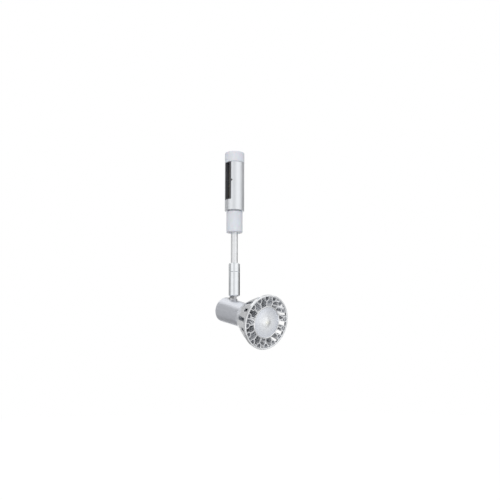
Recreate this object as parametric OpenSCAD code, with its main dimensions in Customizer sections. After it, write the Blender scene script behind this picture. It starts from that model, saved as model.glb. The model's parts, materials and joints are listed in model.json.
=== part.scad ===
// Track spotlight: an adapter that straddles a flat rail, a stem with a swivel,
// and a tilting sleeve that holds a reflector lamp with a finned heat sink.
// The origin is on the stem's axis at the middle of the rail's height. +X runs along the rail,
// -Y is the way the lamp looks, and +Z is up. Sizes are in millimetres.

/* [Pose] */
// Angle of the lamp's axis below the horizontal
lamp_tilt = 15.4; // [0:0.1:90]

/* [Fits] */
// Radial clearance of a turning or sliding fit
run_fit = 0.05; // [0.02:0.01:0.1]
// Clearance between pieces that are fixed to each other
seat_fit = 0.05; // [0.02:0.01:0.1]
// Gap between pieces that move past each other
move_gap = 0.3; // [0.25:0.05:0.5]

/* [Rail] */
// Thickness of the rail
rail_t = 4.9; // [4.4:0.1:5.4]
// Height of the rail
rail_h = 34.7; // [30:0.1:40]
// Clearance between the rail and the liner on each side
rail_clear = 0.25; // [0.15:0.05:0.4]
// Play under the rail's lower edge
rail_play = 0.15; // [0.1:0.05:0.4]

/* [Adapter body] */
// Diameter of the body
body_d = 18.5; // [18:0.1:21]
// Width of the slot cut into the body
body_slot_w = 9.1; // [8.6:0.1:9.4]
// Height of the solid foot below the slot
body_foot = 10.4; // [10:0.1:14]
// Thickness of the web between the slot and the socket
web_t = 2; // [1.5:0.1:3]
// Chamfer on the body's edges
body_edge = 0.3; // [0.1:0.1:0.6]

/* [Slot liner] */
// Thickness of the liner's floor
liner_floor_t = 0.6; // [0.5:0.1:1]
// How far the liner's ends lie inside the body's round
liner_inset = 0.25; // [0.1:0.05:0.6]
// Diameter of the rib that enters the rail's groove
rib_d = 1.4; // [1:0.1:2]
// How far the rib stands into the slot
rib_rise = 0.45; // [0.2:0.05:0.6]
// Diameter of the key that holds the liner in the cheek
key_d = 2; // [1.4:0.1:2.4]

/* [Contacts] */
// Thickness of the lower contact pad
pad_t = 0.5; // [0.4:0.1:0.8]
// Width of the lower contact pad across the slot
pad_w = 3.6; // [3:0.1:4]
// Length of the lower contact pad along the slot
pad_len = 7.2; // [5.5:0.1:7.6]
// Thickness of the upper contact strip
strip_t = 0.3; // [0.2:0.05:0.4]
// Width of the upper contact strip
strip_w = 3.6; // [3:0.1:4]
// Height of the upper contact's button above the rail's middle
button_up = 9; // [5:0.1:11]
// Diameter of the upper contact's button
button_d = 2.4; // [1.6:0.1:3]

/* [Cap] */
// How far the cap stands proud of the body
cap_proud = 0.15; // [0:0.05:0.6]
// Height of the cap
cap_h = 10.4; // [8:0.1:14]
// Gap between the rail's upper edge and the cap
cap_gap = 0.95; // [0.5:0.05:1.5]
// Thickness of the cap's side wall
cap_wall = 1.8; // [1.2:0.1:2.4]
// Thickness of the cap's roof
cap_roof = 2.2; // [1.6:0.1:3]
// Radius of the cap's upper edge
cap_edge = 0.9; // [0.3:0.1:1.4]
// Diameter of the pegs that hold the cap
peg_d = 2.6; // [2:0.1:2.8]
// Length of the pegs below the cap
peg_len = 8; // [5:0.1:10]

/* [Lock collar] */
// Diameter of the collar
collar_d = 15.4; // [15:0.1:18]
// Height of the collar
collar_h = 19.8; // [18:0.1:26]
// Gap between the body and the collar
collar_gap = 1; // [0.6:0.1:1.6]
// Thickness of the collar's floor
collar_floor_t = 3.5; // [2:0.1:5]
// Radius of the collar's edges
collar_edge = 0.5; // [0.2:0.1:1]
// Diameter of the neck that turns in the body
neck_d = 12.9; // [12.6:0.1:13.2]
// Height of the two locking lugs
lug_h = 1.5; // [1:0.1:1.8]
// How far the lugs stand out of the neck
lug_rise = 0.6; // [0.4:0.1:0.8]
// Width of each lug
lug_w = 4.8; // [3:0.1:5]
// Height of the lugs above the body's lower edge
lug_up = 1.6; // [1.4:0.1:2]
// Turn from the locked to the open position
lock_turn = 70; // [60:1:90]

/* [Plug] */
// Diameter of the plug body
plug_d = 10.2; // [9.8:0.1:10.2]
// Diameter of the plug pins
pin_d = 2; // [1.6:0.1:2.2]
// Distance between the plug pins
pin_pitch = 5.6; // [5.2:0.1:6]
// Wall of the socket sleeves
socket_wall = 0.45; // [0.3:0.05:0.6]
// Thickness of the socket insert
insert_t = 3.75; // [3:0.05:4]

/* [Stem] */
// Diameter of the stem tube
stem_d = 6.5; // [6:0.1:7]
// Bore of the stem tube
stem_bore = 4.1; // [3.6:0.1:4.6]
// Free length of the stem between collar and swivel
stem_run = 29.8; // [20:0.1:300]
// Depth that the stem enters the plug
stem_grip = 8; // [5:0.1:9]
// Diameter of one lead
lead_d = 0.9; // [0.6:0.1:0.9]

/* [Swivel] */
// Diameter of the swivel ring and barrel
barrel_d = 10.6; // [10.4:0.1:12]
// Height of the fixed ring
ring_h = 8.25; // [7:0.05:12]
// Seam between the ring and the barrel
seam = 0.2; // [0.2:0.05:0.5]
// Length of the turning barrel
barrel_h = 22.5; // [22:0.1:30]
// Wall of the barrel
barrel_wall = 0.9; // [0.8:0.1:1]
// Chamfer at the barrel's lower end
barrel_chamfer = 0.6; // [0.3:0.1:0.7]
// Thickness of the barrel's top
barrel_top_t = 3; // [2:0.1:4]
// Chamfer on the ring's upper edge
ring_edge = 0.7; // [0.3:0.1:1]
// Diameter of the swivel stud
stud_d = 5; // [4.6:0.1:5]
// Bore of the swivel stud for the leads
stud_bore = 2; // [2:0.1:2.6]
// Width across the flats of the swivel nut
swivel_nut_af = 7; // [6.6:0.1:7.2]
// Height of the swivel nut
swivel_nut_h = 2.6; // [2:0.1:3]
// Thickness of the friction washer
washer_t = 0.8; // [0.5:0.1:1]

/* [Tilt knuckle] */
// Height of the tilt axis above the barrel's lower edge
pivot_up = 4.55; // [4.4:0.05:5]
// Diameter of the tilt pin
tilt_pin_d = 2.5; // [2:0.1:2.8]
// Thickness of the tongue
tongue_t = 3.2; // [3:0.1:3.4]
// Width of the tongue
tongue_w = 6.4; // [5.6:0.1:6.5]
// Thickness of the tilt washers
tilt_washer_t = 0.4; // [0.3:0.05:0.5]
// Diameter of the tilt washers
tilt_washer_d = 5.4; // [4.6:0.1:5.6]
// Height of the fork insert
fork_h = 13.2; // [11:0.1:13.4]
// Distance from the tilt axis to the seat ring
seat_drop = 6.65; // [6.6:0.05:7.2]
// Diameter of the seat ring
seat_d = 8.4; // [7.6:0.1:9]
// Thickness of the seat ring at its thinnest
seat_t = 0.8; // [0.4:0.1:1.5]

/* [Lamp sleeve] */
// Distance from the sleeve's mouth back to the tilt stud
stud_back = 23.5; // [22.5:0.1:24.2]
// Diameter of the sleeve at its mouth
sleeve_mouth_d = 22.4; // [22.2:0.1:23]
// Diameter of the sleeve at its closed end
sleeve_end_d = 23.4; // [22.6:0.1:23.6]
// Length of the sleeve
sleeve_len = 32.2; // [32:0.1:36]
// Wall of the sleeve
sleeve_wall = 1.3; // [1:0.1:1.5]
// Radius of the sleeve's rear edge
sleeve_edge = 0.5; // [0.2:0.1:1]
// Diameter of the threaded shank that holds the sleeve
shank_d = 5; // [4.6:0.1:5]
// Width across the flats of the sleeve nut
sleeve_nut_af = 8; // [7.6:0.1:8]
// Height of the sleeve nut
sleeve_nut_h = 2.2; // [1.8:0.1:2.4]
// Thickness of the holder bracket
bracket_t = 1; // [0.8:0.1:1]
// Width of the holder bracket at the nut
bracket_w = 6; // [5.8:0.1:6.4]

/* [Lampholder] */
// Width of the lampholder across the pins
holder_w = 18; // [17:0.1:18.4]
// Height of the lampholder
holder_h = 10; // [9:0.1:10.4]
// Depth of the lampholder
holder_depth = 12; // [11.8:0.1:12]
// Distance between the holder screws
holder_screw_pitch = 12.8; // [12:0.1:13]
// Diameter of the holder screws
holder_screw_d = 1.9; // [1.6:0.1:2.2]

/* [Lamp] */
// Diameter of the lamp's rim
lamp_d = 49.5; // [48.5:0.1:50.5]
// Width of the rim
rim_w = 1.5; // [1.2:0.1:2]
// Depth of the rim
rim_depth = 3; // [2:0.1:3.6]
// Depth of the rim's lip
rim_lip = 1.4; // [1:0.1:1.8]
// Wall of the rim behind its lip
rim_skirt = 1.15; // [1:0.05:1.4]
// Length of the heat sink
sink_len = 29.2; // [28.6:0.1:29.4]
// Diameter of the heat sink's bowl at its rear
sink_end_d = 24.4; // [24:0.1:25]
// Wall of the bowl
bowl_wall = 1.1; // [0.9:0.1:1.4]
// How far the bowl swells out of a straight cone
bowl_swell = 1; // [0.4:0.1:1.4]
// Depth of the core cup that holds the lens
core_floor = 14.4; // [13.5:0.1:15]
// Thickness of the core cup's floor
core_floor_t = 2; // [1.5:0.1:2.5]
// Wall of the core cup
core_wall = 1.35; // [1:0.05:1.6]
// Number of branching fins
fin_count = 16; // [14:1:18]
// Thickness of a fin's root
fin_t = 0.9; // [0.7:0.1:1.1]
// Thickness of a fin's branches
branch_t = 0.7; // [0.5:0.1:0.9]
// Distance from the lamp's axis to the branching
branch_r = 19.3; // [18.5:0.1:20]
// Width of the long windows in the bowl
long_window_w = 3.8; // [3:0.1:4]
// Depth of the long windows behind the face
long_window_depth = 20; // [16:0.1:21]
// Width of the short windows between them
short_window_w = 3; // [2.4:0.1:3.6]
// Depth of the short windows behind the face
short_window_depth = 11.5; // [9:0.1:14]

/* [Lens and light source] */
// Diameter of the lens
lens_d = 27.6; // [26.6:0.1:28]
// How far the lens ring reaches outside the lens
lens_ring_out = 0.95; // [0.8:0.05:1.2]
// How far the lens ring laps over the lens
lens_ring_lap = 0.1; // [0.1:0.05:0.4]
// Thickness of the lens ring
lens_ring_t = 1; // [0.8:0.1:1.2]
// How far the lens domes out of its flange
lens_crown = 0.8; // [0.5:0.1:1.5]
// Diameter of the boss in the middle of the lens
lens_boss_d = 12; // [9:0.1:13]
// Height of the boss on the lens
lens_boss_rise = 0.9; // [0.5:0.1:1.2]
// Diameter of the light source's board
board_d = 18; // [16:0.1:18.4]
// Thickness of the light source's board
board_t = 1.2; // [0.8:0.1:1.6]
// Width of the emitter
emitter_w = 5; // [4:0.1:5.6]

/* [Lamp base] */
// Length of the base behind the heat sink
base_len = 15.8; // [15.2:0.1:16]
// Length of the round part of the base behind the heat sink
base_round_len = 7.8; // [6:0.1:10]
// Diameter of the base inside the sleeve
base_d = 19; // [18:0.1:19.2]
// Wall of the base
base_wall = 1.2; // [1:0.1:1.5]
// Length of the spigot that enters the heat sink
spigot_len = 7.2; // [5:0.1:9]
// Width of the base's end block
block_w = 17; // [15:0.1:17.4]
// Height of the base's end block
block_h = 9.6; // [8:0.1:10]
// Distance between the lamp pins
lamp_pin_pitch = 5.33; // [5.2:0.01:5.5]
// Diameter of the lamp pins
lamp_pin_d = 1.5; // [1.4:0.05:1.6]
// Length of the lamp pins outside the base
lamp_pin_len = 7.5; // [6:0.1:8]

/* [Hidden] */
$fn = 96;
over = 1;

// Heights down the stem's axis
rail_half = rail_h / 2;
cap_z = rail_half + cap_gap;
cap_d = body_d + 2 * cap_proud;
pad_top_z = -rail_half - rail_play;
liner_floor_z = pad_top_z - pad_t;
slot_floor_z = liner_floor_z - liner_floor_t;
body_bottom_z = slot_floor_z - body_foot;
socket_top_z = slot_floor_z - web_t;
insert_bottom_z = socket_top_z - insert_t;
plug_top_z = insert_bottom_z - 2 * move_gap;
neck_top_z = insert_bottom_z - 2 * move_gap;
collar_top_z = body_bottom_z - collar_gap;
collar_bottom_z = collar_top_z - collar_h;
collar_floor_z = collar_bottom_z + collar_floor_t;
plug_bottom_z = collar_floor_z + move_gap;
stem_top_z = plug_bottom_z + stem_grip;
ring_top_z = collar_bottom_z - stem_run;
ring_bottom_z = ring_top_z - ring_h;
barrel_top_z = ring_bottom_z - seam;
barrel_bottom_z = barrel_top_z - barrel_h;
pivot_z = barrel_bottom_z + pivot_up;

// Slot and contacts
slot_half = rail_t / 2 + rail_clear;
cheek_mid = (body_slot_w / 2 + body_d / 2) / 2;
pin_x = pin_pitch / 2;
socket_d = pin_d + 2 * run_fit + 2 * socket_wall;
boss_d = socket_d + 2 * seat_fit + 1.2;
rivet_len = 1.8;
strip_z = liner_floor_z - strip_t - seat_fit;
strip_y = slot_half + 0.15;
strip_top_z = button_up + button_d;
strip_floor_z = strip_z - seat_fit;
pad_inset = 0.5;

// Plug, collar and body bores
neck_bore_d = neck_d + 2 * run_fit;
lug_r = neck_d / 2 + lug_rise;
lug_z = body_bottom_z + lug_up;
collar_bore_d = plug_d + 2 * move_gap;
chamber_d = pin_pitch + pin_d + 0.5;
chamber_h = 5;
pin_tail = 1.2;
plug_pin_len_in_socket = 3.2;
lead_off = lead_d / 2 + 0.05;

// Swivel
ring_floor_t = 2.65;
ring_ledge_z = ring_bottom_z + ring_floor_t;
stud_grip = 7;
barrel_bore_d = barrel_d - 2 * barrel_wall;
washer_top_z = barrel_top_z - barrel_top_t - seat_fit;
nut_top_z = washer_top_z - washer_t - seat_fit;
nut_bottom_z = nut_top_z - swivel_nut_h;
stud_end_z = nut_bottom_z - 0.6;
hex = 1 / cos(30);

// Tilt knuckle
fork_bottom_z = barrel_bottom_z + 0.35;
fork_top_z = fork_bottom_z + fork_h;
tongue_room = tongue_w / 2 + 0.5;
fork_slot_w = tongue_t + 2 * tilt_washer_t + 4 * seat_fit;
barrel_slot_w = tongue_t + 1;
lead_bore = 2 * (lead_off + lead_d / 2) + 0.1;
lead_exit = 3;
lead_exit_d = lead_bore + 0.2;

// Sleeve and holder, as distances behind the lamp's face
sleeve_mouth = sink_len + move_gap;
base_end = sink_len + base_len;
sleeve_end = sleeve_mouth + sleeve_len;
face_reach = sleeve_mouth + stud_back;
axis_drop = seat_drop + seat_t + sleeve_r(face_reach);
holder_front = base_end + move_gap;
holder_back = holder_front + holder_depth;
plate_back = holder_back + seat_fit + bracket_t;
bracket_front = face_reach - bracket_w / 2 - 1.5;
bracket_top = sqrt(pow(sleeve_r(bracket_front) - sleeve_wall, 2) - pow(bracket_w / 2, 2)) - seat_fit;
nut_top = bracket_top - bracket_t - seat_fit;
shank_end = nut_top - sleeve_nut_h - 0.4;
holder_x = lamp_pin_pitch / 2;
contact_wall = 0.4;
contact_d = lamp_pin_d + 2 * run_fit + 2 * contact_wall;
contact_len = 9;
contact_back = holder_front + 0.5 + contact_len;
plate_w = holder_screw_pitch + 2.4;
plate_h = holder_h - 2;
screw_len = 6;
screw_head_h = 1.5;

// Lamp
bowl_front_r = lamp_d / 2 - 0.75;
rim_in_r = lamp_d / 2 - rim_w;
rim_edge = 0.35;
rib_pitch = 360 / fin_count;
branch_off = rim_in_r * sin(rib_pitch / 4);
lens_ring_r = lens_d / 2 + lens_ring_out;
core_r = lens_ring_r;
core_front = lens_ring_t;
lens_flange_t = 1.2;
lens_boss_flat = 0.25;
sink_bore_r = base_d / 2 - 0.25;
core_end_r = sink_bore_r + core_wall + 0.6;
sink_neck_r = sink_bore_r + core_wall + 0.4;
fin_front = 0.6;
fin_root = 0.3;
sink_tail = 2;
sink_neck_taper = 1;
sink_tail_edge = 0.5;
lens_side_r = lens_d / 2 - 0.9;
lens_tail_r = 4.6;
lens_tail = core_floor - board_t - 0.8;
lens_cavity_r = 3.2;
lens_cavity_depth = 3.8;
spigot_front = sink_len - spigot_len;
base_step = sink_len + base_round_len;
board_x = base_d / 2 - seat_fit - 0.25 - base_wall - 0.3;
driver_front = core_floor + core_floor_t + 2;
driver_len = base_step - base_wall - 0.6 - driver_front;

function sleeve_r(t) =
    sleeve_mouth_d / 2 + (sleeve_end_d - sleeve_mouth_d) / 2 * (t - sleeve_mouth) / sleeve_len;
function bowl_u(t) = (t - rim_depth) / (sink_len - rim_depth);
function bowl_r(t) =
    let (u = bowl_u(t))
    bowl_front_r + (sink_end_d / 2 - bowl_front_r) * u + bowl_swell * 4 * u * (1 - u);
function core_out(t) =
    core_r + (core_end_r - core_r) * (t - core_front) / (core_floor + core_floor_t - core_front);
function eased(u) = u * u * (3 - 2 * u);
function lens_face(r) =
    let (u = min(1, max(0, (2 * r / lens_boss_d - lens_boss_flat) / (1 - lens_boss_flat))))
    core_front + seat_fit - lens_crown * (1 - pow(r / lens_side_r, 2)) - lens_boss_rise * (1 - eased(u));
function lens_depth(r) =
    let (front = core_front + lens_flange_t, tail_sq = pow(lens_tail_r, 2))
    lens_tail - (lens_tail - front) * (pow(r, 2) - tail_sq) / (pow(lens_side_r, 2) - tail_sq);
function arc(cx, cy, r, from, to, steps = 5) =
    [for (i = [0:steps]) let (a = from + (to - from) * i / steps) [cx + r * cos(a), cy + r * sin(a)]];

// Shapes that repeat

module rod(d, z0, z1) {
    translate([0, 0, min(z0, z1)])
        cylinder(d = d, h = abs(z1 - z0));
}

module tube(d, bore, z0, z1) {
    difference() {
        rod(d, z0, z1);
        rod(bore, min(z0, z1) - over, max(z0, z1) + over);
    }
}

module turned(points) {
    rotate_extrude()
        polygon(points);
}

// A turned piece in the lamp's frame, from points of radius and distance behind the face
module turned_back(points) {
    turned([for (p = points) [p[0], -p[1]]]);
}

module box(size, low) {
    translate(low)
        cube(size);
}

module each_side() {
    for (s = [-1, 1])
        scale_sign(s)
            children();
}

module scale_sign(s) {
    if (s > 0)
        children();
    else
        mirror([1, 0, 0])
            children();
}

module hex_nut(af, bore, z0, z1) {
    difference() {
        translate([0, 0, min(z0, z1)])
            cylinder(d = af * hex, h = abs(z1 - z0), $fn = 6);
        rod(bore, min(z0, z1) - over, max(z0, z1) + over);
    }
}

// Frames: the head turns about the tilt axis, and the lamp's +Z points out of its face

module at_head() {
    translate([0, 0, pivot_z])
        rotate([lamp_tilt, 0, 0])
            children();
}

module lamp_in_head() {
    translate([0, -face_reach, -axis_drop])
        rotate([90, 0, 0])
            children();
}

module at_lamp() {
    at_head()
        lamp_in_head()
            children();
}

// Adapter

module adapter_body() color("silver") {
    r = body_d / 2;
    e = body_edge;
    difference() {
        turned([
            [0, body_bottom_z], [r - e, body_bottom_z], [r, body_bottom_z + e],
            [r, cap_z - e], [r - e, cap_z], [0, cap_z]
        ]);
        box([2 * body_d, body_slot_w, cap_z - slot_floor_z + over],
            [-body_d, -body_slot_w / 2, slot_floor_z]);
        for (s = [-1, 1])
            translate([-body_d, s * body_slot_w / 2, 0])
                rotate([0, 90, 0])
                    rod(key_d + 2 * seat_fit, 0, 2 * body_d);
        rod(neck_bore_d, body_bottom_z - over, socket_top_z);
        rod(2 * (lug_r + move_gap), lug_z - move_gap, lug_z + lug_h + move_gap);
        intersection() {
            rod(2 * (lug_r + move_gap), body_bottom_z - over, lug_z);
            rotate(lock_turn)
                box([body_d, lug_w + 2 * move_gap, lug_up + over],
                    [-body_d / 2, -lug_w / 2 - move_gap, body_bottom_z - over]);
        }
        each_side()
            translate([pin_x, 0, 0])
                rod(boss_d + 2 * seat_fit, socket_top_z - over, slot_floor_z + over);
        for (s = [-1, 1])
            translate([0, s * cheek_mid, 0])
                rod(peg_d + 2 * run_fit, cap_z - peg_len - move_gap, cap_z + over);
    }
}

module slot_liner() color("dimgray") {
    difference() {
        intersection() {
            rod(body_d - 2 * liner_inset, slot_floor_z, cap_z - seat_fit);
            union() {
                difference() {
                    box([body_d, body_slot_w - 2 * seat_fit, cap_z - slot_floor_z],
                        [-body_d / 2, -body_slot_w / 2 + seat_fit, slot_floor_z]);
                    box([2 * body_d, 2 * slot_half, cap_z], [-body_d, -slot_half, liner_floor_z]);
                    box([2 * body_d, 2 * slot_half, cap_z], [-body_d, -slot_half, 0]);
                }
                for (s = [-1, 1])
                    translate([-body_d / 2, s * (body_slot_w / 2 - seat_fit), 0])
                        rotate([0, 90, 0])
                            rod(key_d, 0, body_d);
                for (s = [-1, 1])
                    translate([-body_d / 2, s * (slot_half + rib_d / 2 - rib_rise), 0])
                        rotate([0, 90, 0])
                            rod(rib_d, 0, body_d);
            }
        }
        box([strip_w + 2 * move_gap, strip_y + strip_t + seat_fit, strip_top_z + move_gap - strip_floor_z],
            [-pin_x - strip_w / 2 - move_gap, 0, strip_floor_z]);
        box([strip_w + 2 * move_gap, strip_w / 2 + move_gap + over, liner_floor_z + over - strip_floor_z],
            [-pin_x - strip_w / 2 - move_gap, -strip_w / 2 - move_gap, strip_floor_z]);
        each_side()
            translate([pin_x, 0, 0])
                rod(socket_d + 2 * seat_fit, slot_floor_z - over, liner_floor_z + over);
    }
}

module socket_insert() color("gainsboro") {
    difference() {
        union() {
            rod(neck_bore_d - 2 * seat_fit, insert_bottom_z, socket_top_z - seat_fit);
            each_side()
                translate([pin_x, 0, 0])
                    rod(boss_d, socket_top_z - over, slot_floor_z - seat_fit);
        }
        each_side()
            translate([pin_x, 0, 0])
                rod(socket_d + 2 * seat_fit, insert_bottom_z - over, slot_floor_z + over);
    }
}

module socket_sleeves() color("goldenrod") {
    each_side()
        translate([pin_x, 0, 0])
            tube(socket_d, pin_d + 2 * run_fit, insert_bottom_z, strip_z - 2 * seat_fit);
}

module lower_contact() color("goldenrod") {
    box([pad_len, pad_w, pad_t], [pad_inset, -pad_w / 2, liner_floor_z]);
    translate([pin_x, 0, 0])
        rod(pin_d, strip_z - rivet_len, liner_floor_z + pad_t / 2);
}

module upper_contact() color("goldenrod") {
    box([strip_w, strip_w / 2 + strip_y + strip_t, strip_t], [-pin_x - strip_w / 2, -strip_w / 2, strip_z]);
    box([strip_w, strip_t, strip_top_z - strip_z], [-pin_x - strip_w / 2, strip_y, strip_z]);
    translate([-pin_x, strip_y + strip_t / 2, button_up])
        rotate([90, 0, 0])
            rod(button_d, 0, strip_t / 2 + strip_y - rail_t / 2);
    translate([-pin_x, 0, 0])
        rod(pin_d, strip_z - rivet_len, strip_z + strip_t / 2);
}

module adapter_cap() color("lightsteelblue") {
    r = cap_d / 2;
    z0 = cap_z + seat_fit;
    z1 = z0 + cap_h;
    difference() {
        turned(concat(
            [[0, z0], [r - body_edge, z0], [r, z0 + body_edge]],
            arc(r - cap_edge, z1 - cap_edge, cap_edge, 0, 90),
            [[0, z1]]
        ));
        rod(cap_d - 2 * cap_wall, z0 - over, z1 - cap_roof);
    }
    for (s = [-1, 1])
        translate([0, s * cheek_mid, 0])
            rod(peg_d, cap_z - peg_len, z1 - cap_roof / 2);
    box([peg_d / 2, 2 * cheek_mid, cap_h - cap_roof - over], [-peg_d / 4, -cheek_mid, z0 + over]);
}

module lock_collar() color("lightsteelblue") {
    r = collar_d / 2;
    e = collar_edge;
    difference() {
        union() {
            turned(concat(
                [[0, collar_bottom_z]],
                arc(r - e, collar_bottom_z + e, e, -90, 0),
                arc(r - e, collar_top_z - e, e, 0, 90),
                [[0, collar_top_z]]
            ));
            rod(neck_d, collar_top_z - over, neck_top_z);
            intersection() {
                rod(2 * lug_r, lug_z, lug_z + lug_h);
                box([body_d, lug_w, lug_h], [-body_d / 2, -lug_w / 2, lug_z]);
            }
        }
        rod(collar_bore_d, collar_floor_z, neck_top_z + over);
        rod(stem_d + 2 * run_fit, collar_bottom_z - over, collar_floor_z + over);
    }
}

// Plug and stem

module plug_body() color("gainsboro") {
    difference() {
        rod(plug_d, plug_bottom_z, plug_top_z);
        rod(stem_d + 2 * seat_fit, plug_bottom_z - over, stem_top_z);
        rod(chamber_d, stem_top_z, stem_top_z + chamber_h);
        each_side()
            translate([pin_x, 0, 0])
                rod(pin_d + 2 * seat_fit, stem_top_z + chamber_h - over, plug_top_z + over);
    }
}

module plug_pins() color("goldenrod") {
    each_side()
        translate([pin_x, 0, 0])
            rod(pin_d, stem_top_z + chamber_h - pin_tail, insert_bottom_z + plug_pin_len_in_socket);
}

module stem_tube() color("silver") {
    tube(stem_d, stem_bore, ring_ledge_z, stem_top_z - seat_fit);
}

module stem_leads() color("white") {
    for (s = [-1, 1])
        translate([0, s * lead_off, 0])
            rod(lead_d, fork_top_z + 0.5, stem_top_z + chamber_h - pin_tail / 2);
}

// Swivel

module swivel_ring() color("gainsboro") {
    r = barrel_d / 2;
    difference() {
        turned([
            [0, ring_bottom_z], [r - body_edge / 2, ring_bottom_z], [r, ring_bottom_z + body_edge / 2],
            [r, ring_top_z - ring_edge], [r - ring_edge, ring_top_z], [0, ring_top_z]
        ]);
        rod(stem_d + 2 * seat_fit, ring_ledge_z, ring_top_z + over);
        rod(stud_d + 4 * seat_fit, ring_bottom_z - over, ring_ledge_z + over);
    }
}

module swivel_stud() color("darkgray") {
    difference() {
        union() {
            rod(stem_bore - 2 * seat_fit, ring_ledge_z - over, ring_ledge_z + stud_grip);
            rod(stud_d, stud_end_z, ring_ledge_z);
        }
        rod(stud_bore, stud_end_z - over, ring_ledge_z + stud_grip + over);
    }
}

module swivel_nut() color("darkgray") {
    hex_nut(swivel_nut_af, stud_d + 2 * seat_fit, nut_bottom_z, nut_top_z);
}

module friction_washer() color("dimgray") {
    tube(barrel_bore_d - 2 * move_gap, stud_d + 4 * seat_fit, washer_top_z - washer_t, washer_top_z);
}

module swivel_barrel() color("gainsboro") {
    r = barrel_d / 2;
    e = body_edge / 2;
    difference() {
        turned([
            [0, barrel_bottom_z], [r - barrel_chamfer, barrel_bottom_z],
            [r, barrel_bottom_z + barrel_chamfer],
            [r, barrel_top_z - e], [r - e, barrel_top_z], [0, barrel_top_z]
        ]);
        rod(barrel_bore_d, barrel_bottom_z - over, barrel_top_z - barrel_top_t);
        rod(stud_d + 2 * run_fit, barrel_bottom_z, barrel_top_z + over);
        box([barrel_slot_w, barrel_d, pivot_up + tongue_room + over],
            [-barrel_slot_w / 2, 0, barrel_bottom_z - over]);
    }
}

// Tilt knuckle

module tilt_fork() color("darkgray") {
    difference() {
        rod(barrel_bore_d - 2 * seat_fit, fork_bottom_z, fork_top_z);
        box([fork_slot_w, 2 * barrel_d, pivot_z + tongue_room - fork_bottom_z + over],
            [-fork_slot_w / 2, -barrel_d, fork_bottom_z - over]);
        rod(lead_bore, pivot_z, fork_top_z + over);
        translate([-barrel_d, 0, pivot_z])
            rotate([0, 90, 0])
                rod(tilt_pin_d + 2 * seat_fit, 0, 2 * barrel_d);
    }
}

module tilt_pin() color("darkgray") {
    translate([0, 0, pivot_z])
        rotate([0, 90, 0])
            rod(tilt_pin_d, -barrel_bore_d / 2 + move_gap, barrel_bore_d / 2 - move_gap);
}

module tilt_washers() color("dimgray") {
    translate([0, 0, pivot_z])
        each_side()
            rotate([0, 90, 0])
                tube(tilt_washer_d, tilt_pin_d + 2 * run_fit,
                    tongue_t / 2 + seat_fit, tongue_t / 2 + seat_fit + tilt_washer_t);
}

module tilt_tongue() color("gray") at_head() {
    difference() {
        union() {
            rotate([0, 90, 0])
                rod(tongue_w, -tongue_t / 2, tongue_t / 2);
            box([tongue_t, tongue_w, seat_drop + seat_t / 2],
                [-tongue_t / 2, -tongue_w / 2, -seat_drop - seat_t / 2]);
            difference() {
                rod(seat_d, -axis_drop + sleeve_mouth_d / 2 - 2 * over, -seat_drop);
                lamp_in_head()
                    turned_back([
                        [0, sleeve_mouth], [sleeve_r(sleeve_mouth) + seat_fit, sleeve_mouth],
                        [sleeve_r(sleeve_end) + seat_fit, sleeve_end], [0, sleeve_end]
                    ]);
            }
            rod(shank_d, shank_end - axis_drop, -seat_drop - seat_t / 4);
        }
        rotate([0, 90, 0])
            rod(tilt_pin_d + 2 * run_fit, -tongue_t, tongue_t);
        rod(lead_bore, shank_end - axis_drop - over, -lead_exit);
        translate([0, 0, -lead_exit])
            rotate([-90, 0, 0])
                rod(lead_exit_d, -lead_bore * 0.6, tongue_w);
    }
}

module sleeve_nut() color("darkgray") at_head() {
    hex_nut(sleeve_nut_af, shank_d + 2 * seat_fit, nut_top - sleeve_nut_h - axis_drop, nut_top - axis_drop);
}

// Lamp sleeve and holder

module lamp_sleeve() color("silver") {
    r0 = sleeve_r(sleeve_mouth);
    r1 = sleeve_r(sleeve_end);
    difference() {
        at_lamp()
            turned_back(concat(
                [[r0 - sleeve_wall, sleeve_mouth], [r0, sleeve_mouth]],
                arc(r1 - sleeve_edge, sleeve_end - sleeve_edge, sleeve_edge, 0, 90),
                [[0, sleeve_end], [0, sleeve_end - sleeve_wall]],
                [[r1 - sleeve_wall, sleeve_end - sleeve_wall]]
            ));
        at_head()
            rod(shank_d + 4 * seat_fit, -axis_drop, -seat_drop + over);
    }
}

module holder_bracket() color("darkgray") {
    difference() {
        at_lamp() {
            box([bracket_w, bracket_t, plate_back - bracket_front],
                [-bracket_w / 2, bracket_top - bracket_t, -plate_back]);
            box([bracket_w, bracket_top, bracket_t], [-bracket_w / 2, 0, -plate_back]);
            box([plate_w, plate_h, bracket_t], [-plate_w / 2, -plate_h / 2, -plate_back]);
        }
        at_head()
            rod(shank_d + 4 * seat_fit, -axis_drop + plate_h / 2, 0);
        at_lamp()
            each_side()
                translate([holder_screw_pitch / 2, 0, 0])
                    rod(holder_screw_d + 2 * seat_fit, -plate_back - over, -holder_back);
    }
}

module lampholder() color("white") at_lamp() {
    difference() {
        intersection() {
            box([holder_w, holder_h, holder_depth], [-holder_w / 2, -holder_h / 2, -holder_back]);
            rod(holder_w, -holder_back, -holder_front);
        }
        each_side()
            translate([holder_x, 0, 0])
                rod(contact_d + 2 * seat_fit, -contact_back, -holder_front + over);
        each_side()
            translate([holder_screw_pitch / 2, 0, 0])
                rod(holder_screw_d + 2 * seat_fit, -holder_back - over,
                    -holder_back + screw_len + seat_fit);
        translate([0, holder_h / 4, -face_reach])
            rotate([-90, 0, 0])
                rod(lead_bore, 0, holder_h);
    }
}

module holder_contacts() color("goldenrod") at_lamp() {
    each_side()
        translate([holder_x, 0, 0])
            tube(contact_d, lamp_pin_d + 2 * run_fit, -contact_back, -contact_back + contact_len);
}

module holder_screws() color("darkgray") at_lamp() {
    each_side()
        translate([holder_screw_pitch / 2, 0, 0]) {
            rod(holder_screw_d, -plate_back - screw_head_h / 2, -holder_back + screw_len);
            rod(2 * holder_screw_d, -plate_back - screw_head_h, -plate_back);
        }
}

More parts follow.
